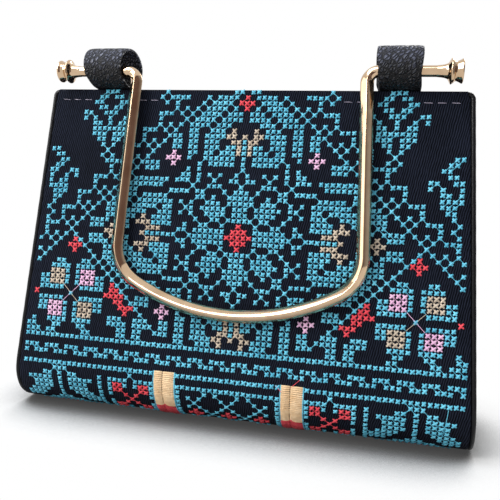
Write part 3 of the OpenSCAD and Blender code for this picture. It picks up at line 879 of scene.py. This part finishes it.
def sew(name, strands, form):
    """Joins copies of a strand, each (x, s, dx, ds, lift, stretch), into one piece on the cloth."""
    points, faces = form
    strands = np.array(strands)
    x, s, dx, ds, lift, stretch = (strands[:, i][:, None] for i in range(6))
    along, across, height = points[:, 0] * stretch, points[:, 1], points[:, 2]
    px = x + along * dx - across * ds
    ps = s + along * ds + across * dx
    flat_x, flat_s = px.ravel(), ps.ravel()
    out = np.broadcast_to(height + lift, px.shape).ravel() - give(flat_x, flat_s)
    y, z = skin(flat_s, out)
    coords = np.stack([flat_x, y, z], axis=1) / MM_IN_METRE
    step = len(points)
    all_faces = [tuple(v + n * step for v in face) for n in range(len(strands)) for face in faces]
    mesh = bpy.data.meshes.new(name)
    mesh.from_pydata(coords.tolist(), [], all_faces)
    piece = bpy.data.objects.new(name, mesh)
    bpy.context.collection.objects.link(piece)
    face_outward(piece)
    smooth(piece, 75)
    return piece


def stitch_links(cells):
    """Threads from stitch to stitch: rising ones high up, falling ones lower down, both where alone."""
    rising_share, half_length = 0.42, 1.5
    taken = {(round(x / PITCH), round(s / PITCH)) for x, s in cells}
    links = []
    for x, s in cells:
        c, r = round(x / PITCH), round(s / PITCH)
        rising = s < SLANT * rising_share
        for step in (1, -1):
            alone = (c + step, r) not in taken and (c, r - 1) not in taken
            if (c + step, r - 1) in taken and (alone or rising == (step > 0)):
                middle = (x + step * PITCH / 2, s - PITCH / 2)
                links.append((*middle, DIAGONAL, -step * DIAGONAL, 0.0, half_length))
    return links


def patch_threads(node):
    """Long threads that cross a rosette from one square patch to the other of the same colour."""
    patch_cells, apart, tolerance, lift, reach = 3, 6 * PITCH, 1.0, 0.34, 0.36
    patches = []
    for corners in islands(node):
        x0, x1, s0, s1 = extent(corners)
        if round((x1 - x0) / PITCH) == patch_cells and round((s1 - s0) / PITCH) == patch_cells:
            patches.append(((x0 + x1) / 2, (s0 + s1) / 2))
    threads = []
    for i, (xa, sa) in enumerate(patches):
        for xb, sb in patches[i + 1:]:
            off = max(abs(abs(xa - xb) - apart), abs(abs(sa - sb) - apart))
            if off < tolerance:
                slope = math.copysign(DIAGONAL, (xb - xa) * (sb - sa))
                threads.append(((xa + xb) / 2, (sa + sb) / 2, DIAGONAL, slope, lift, reach * apart))
    return threads


def loose_threads(colour):
    """Loose threads on the right: two red ends at the tan bar, a turquoise one from below its top."""
    bar = np.concatenate([corners for corners in islands("tan_bars") if corners[:, 0].min() > 0])
    top = min(place_of(y, z) for _, y, z in bar)
    teal_x, teal_lean, teal_step = 110.5, 0.25, 2.4
    threads = {
        "red": [
            (bar[:, 0].mean() + 2, top - 2, DIAGONAL, -DIAGONAL, 0.4, 3.8),
            (bar[:, 0].min() - 1, top + 2, DIAGONAL, DIAGONAL, 0.4, 2.2),
        ],
        "teal": [
            (teal_x - teal_lean * k, top + 4 + teal_step * k, -0.1, 0.995, 0.1, 1.3) for k in range(9)
        ],
    }
    return threads.get(colour, [])


def build_cross_stitches():
    """Each stitch as two crossed strands, a little uneven, and the threads that run between stitches."""
    jitter, swing, unevenness, over_lift, under_share = 0.14, 7, 0.09, 0.12, 0.94
    arm = strand_form([
        (-1.0, 0.6, -0.1, 0.0), (-0.66, 1.02, -0.06, 0.34), (0.0, 1.12, -0.06, 0.5),
        (0.66, 1.02, -0.06, 0.34), (1.0, 0.6, -0.1, 0.0),
    ], half_length=1.52)
    link = strand_form([
        (-1.0, 0.3, -0.05, 0.06), (0.0, 0.26, -0.05, 0.18), (1.0, 0.3, -0.05, 0.06),
    ], half_length=1.0)
    for colour, finish, fullness in (
        ("teal", TEAL_THREAD, 1.0), ("red", RED_THREAD, 1.18),
        ("cream", CREAM_THREAD, 1.12), ("lilac", LILAC_THREAD, 1.15),
    ):
        node, slot = colour + "_stitches", colour + "_thread"
        cells = stitch_cells(node)
        strands = []
        for x0, s0 in cells:
            x = x0 + jitter * math.sin(4.3 * x0 + 26.1 * s0)
            s = s0 + jitter * math.sin(9.7 * x0 - 13.7 * s0)
            size = fullness + unevenness * math.sin(12.6 * x + 3.8 * s)
            under = math.radians(45 + swing * math.sin(17.3 * x + 7.9 * s))
            over = math.radians(-45 + swing * math.sin(5.9 * x - 21.1 * s))
            strands.append((x, s, math.cos(under), math.sin(under), 0.0, under_share * size))
            strands.append((x, s, math.cos(over), math.sin(over), over_lift, size))
        finish_piece(sew(colour + "_cross_stitches", strands, arm), "bag", slot, finish, node)
        threads = stitch_links(cells) + patch_threads(node) + loose_threads(colour)
        finish_piece(sew(colour + "_jump_threads", threads, link), "bag", slot, finish)


def build_hem_stitches():
    tilt = 0.03
    form = strand_form([
        (-1.0, 0.2, -0.1, -0.03), (-0.8, 0.32, -0.06, 0.2), (0.0, 0.34, -0.06, 0.24),
        (0.8, 0.32, -0.06, 0.2), (1.0, 0.2, -0.1, -0.03),
    ], half_length=2.15)
    strands = []
    for corners in islands("hem_stitching"):
        x = (corners[:, 0].min() + corners[:, 0].max()) / 2
        y, z = corners[:, 1].mean(), corners[:, 2].mean()
        s = place_of(y, z) if y < 0 else GIRTH - place_of(-y, z)
        strands.append((x, s, math.cos(tilt), math.sin(tilt), 0.0, 1.0))
    piece = sew("hem_running_stitches", strands, form)
    finish_piece(piece, "bag", "hem_thread", GREY_THREAD, "hem_stitching")


def build_satin_bars():
    """Bars of strands in two columns, their peaked red tips, and a thin cord along each edge."""
    split_share, split_gap, rows = 0.42, 0.05, 3
    satin = strand_form([
        (-1.0, 0.6, -0.06, 0.08), (-0.86, 0.94, -0.06, 0.36), (0.0, 1.02, -0.06, 0.62),
        (0.86, 0.94, -0.06, 0.36), (1.0, 0.6, -0.06, 0.08),
    ], half_length=1.0)
    cord = strand_form([
        (-1.0, 0.7, -0.06, 0.3), (0.0, 0.76, -0.06, 0.42), (1.0, 0.7, -0.06, 0.3),
    ], half_length=1.0)
    edges = []
    for node, slot, finish, peak in (
        ("tan_bars", "tan_thread", TAN_THREAD, 0.0), ("tan_bar_tips", "red_thread", RED_THREAD, 0.4),
    ):
        strands = []
        for corners in islands(node):
            x0, x1, s0, s1 = extent(corners)
            middle = (s0 + s1) / 2
            gap_x = x0 + split_share * (x1 - x0)
            for k in range(rows):
                s = middle + (k - (rows - 1) / 2) * PITCH / rows
                shake = 0.3 * math.sin(7.1 * s + x0)
                lift = 0.5 * abs(shake) + 0.3 * peak
                for a, b, fall in ((x0, gap_x - split_gap, -peak), (gap_x + split_gap, x1, peak)):
                    half = (b - a) / 2 + 0.15 * shake
                    slope = fall + 0.05 * shake
                    strands.append(((a + b) / 2, s + 0.3 * shake, 1.0, slope, lift, half))
            edges += [(x, middle, 0.0, 1.0, 0.02, PITCH / 2 + 0.1) for x in (x0, x1)]
        finish_piece(sew(node + "_satin", strands, satin), "bag", slot, finish, node)
    finish_piece(sew("bar_edge_cords", edges, cord), "bag", "teal_thread", TEAL_THREAD)


def finish_snaps():
    for node in ("snap_socket", "snap_stud"):
        for material_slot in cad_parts[node].material_slots:
            material_slot.material = GOLD


build_shell()
build_gussets()
build_lining()
build_piping()
build_loops()
build_handle()
build_knobs()
build_cross_stitches()
build_hem_stitches()
build_satin_bars()
finish_snaps()


# Floor, light and camera, in metres

# Distance up to which the floor's colour is darkened near the bag as a painted shadow, and place of the
# floor just under the bag
SHADOW_REACH, FLOOR_Z = 0.05, -0.0005
# Strength of the world's light, and of the world as a white background
WORLD_LIGHT, WORLD_SEEN = 0.26, 1.0
# Camera at the photograph's viewing angle: its place, its turn in degrees, and its lens
CAMERA_PLACE, CAMERA_TURN, CAMERA_LENS = (0.07602, -0.32888, 0.13403), (83.087, -2.176, 13.018), 43.2


def seen_rays(tree):
    """1 for the rays that show the background: straight from the camera, or by a mirror or glass."""
    rays = put(tree, "ShaderNodeLightPath")
    seen = math_node(tree, "MAXIMUM", rays.outputs["Is Camera Ray"], rays.outputs["Is Glossy Ray"])
    return math_node(tree, "MAXIMUM", seen, rays.outputs["Is Transmission Ray"])


def backdrop_finish():
    """White floor whose colour is darkened by ambient occlusion near the bag, a painted shadow on top of
    the real shading it shows there.
    """
    finish, tree, shader = new_finish("pale floor", Roughness=1.0, Specular_IOR_Level=0.0)
    open_sky = put(tree, "ShaderNodeAmbientOcclusion", samples=8)
    open_sky.inputs["Distance"].default_value = SHADOW_REACH
    dark, pale = (0.05, 0.05, 0.05, 1), (0.9, 0.9, 0.9, 1)
    # Painted shadow: the floor's colour goes dark where the bag closes over it
    two_tone(tree, shader, open_sky.outputs["AO"], dark, pale, start=0.4, end=1.0)
    white = put(tree, "ShaderNodeMapRange", interpolation_type="SMOOTHSTEP")
    white.inputs["From Min"].default_value = 0.6
    white.inputs["From Max"].default_value = 0.99
    white.inputs["To Min"].default_value = 0.05
    tree.links.new(open_sky.outputs["AO"], white.inputs["Value"])
    glow = put(tree, "ShaderNodeEmission")
    glow.inputs["Color"].default_value = (1, 1, 1, 1)
    glow.inputs["Strength"].default_value = 1.0
    mix = put(tree, "ShaderNodeMixShader")
    tree.links.new(times(tree, seen_rays(tree), white.outputs[0]), mix.inputs[0])
    tree.links.new(shader.outputs[0], mix.inputs[1])
    tree.links.new(glow.outputs[0], mix.inputs[2])
    tree.links.new(mix.outputs[0], tree.nodes["Material Output"].inputs["Surface"])
    return finish


def build_floor():
    deselect_all()
    bpy.ops.mesh.primitive_circle_add(vertices=64, radius=6, fill_type="NGON", location=(0, 0, FLOOR_Z))
    floor = bpy.context.object
    floor.name = "floor"
    floor.data.materials.append(backdrop_finish())


def lamp(name, place, aim, size, power, colour):
    light = bpy.data.lights.new(name, "AREA")
    light.shape = "RECTANGLE"
    light.size, light.size_y = size
    light.energy = power
    light.color = colour
    obj = bpy.data.objects.new(name, light)
    bpy.context.collection.objects.link(obj)
    away = Vector(place) - Vector(aim)
    obj.matrix_world = Matrix.LocRotScale(Vector(place), away.to_track_quat("Z", "Y"), None)


def build_light():
    world = bpy.data.worlds.new("studio")
    world.use_nodes = True
    tree = world.node_tree
    ground = tree.nodes["Background"]
    ground.inputs["Color"].default_value = (1, 1, 1, 1)
    level = plus(tree, times(tree, seen_rays(tree), WORLD_SEEN - WORLD_LIGHT), WORLD_LIGHT)
    tree.links.new(level, ground.inputs["Strength"])
    bpy.context.scene.world = world
    body = (0, 0, 0.09)
    warm, daylight, cool, sky = (1.0, 0.985, 0.96), (1.0, 0.99, 0.97), (0.95, 0.98, 1.0), (0.86, 0.92, 1.0)
    lamp("key", (-0.64, -0.66, 0.72), body, (0.42, 0.46), 10.2, warm)
    lamp("fill", (0.7, -0.75, 0.35), body, (0.1, 0.6), 0.6, cool)
    lamp("top", (-0.22, -0.3, 0.9), (0, 0, 0.15), (0.76, 0.34), 6.4, sky)
    lamp("side", (-0.95, -0.05, 0.3), (0, 0, 0.1), (0.6, 0.7), 2.6, daylight)
    lamp("back", (0.5, 0.95, 0.75), body, (0.5, 0.5), 8.0, daylight)


def build_reflection_card():
    """Curved card on the right, dark brown in front and pale grey behind, that is a painted reflection:
    seen by polished metal alone, it lights nothing and casts no shadow, so that the bar's edges read.
    """
    radius, foot, height, start, sweep = 700, 10, 880, 14, 96

    def place(u, v):
        a = np.radians(start + sweep * u)
        return radius * np.sin(a), -radius * np.cos(a), foot + height * v
    card = sheet("reflection card", 24, 4, place)
    finish, tree, shader = new_finish("reflection card", Roughness=1.0, Specular_IOR_Level=0.0)
    depth = plus(tree, split(tree, object_place(tree))["Y"], radius / MM_IN_METRE)
    # Painted reflection colours: brownish at the front, pale grey further back
    two_tone(tree, shader, depth, srgb(102, 86, 84), srgb(156, 158, 160), start=0.44, end=0.64)
    card.data.materials.append(finish)
    card.visible_camera = card.visible_diffuse = card.visible_transmission = card.visible_shadow = False


def build_camera():
    data = bpy.data.cameras.new("photo camera")
    data.sensor_fit = "HORIZONTAL"
    data.sensor_width = 36.0
    data.lens = CAMERA_LENS
    data.clip_start = 0.01
    camera = bpy.data.objects.new("photo camera", data)
    bpy.context.collection.objects.link(camera)
    camera.location = CAMERA_PLACE
    camera.rotation_euler = [math.radians(a) for a in CAMERA_TURN]
    bpy.context.scene.camera = camera


build_floor()
build_light()
build_reflection_card()
build_camera()
bpy.context.scene.view_settings.view_transform = "Standard"
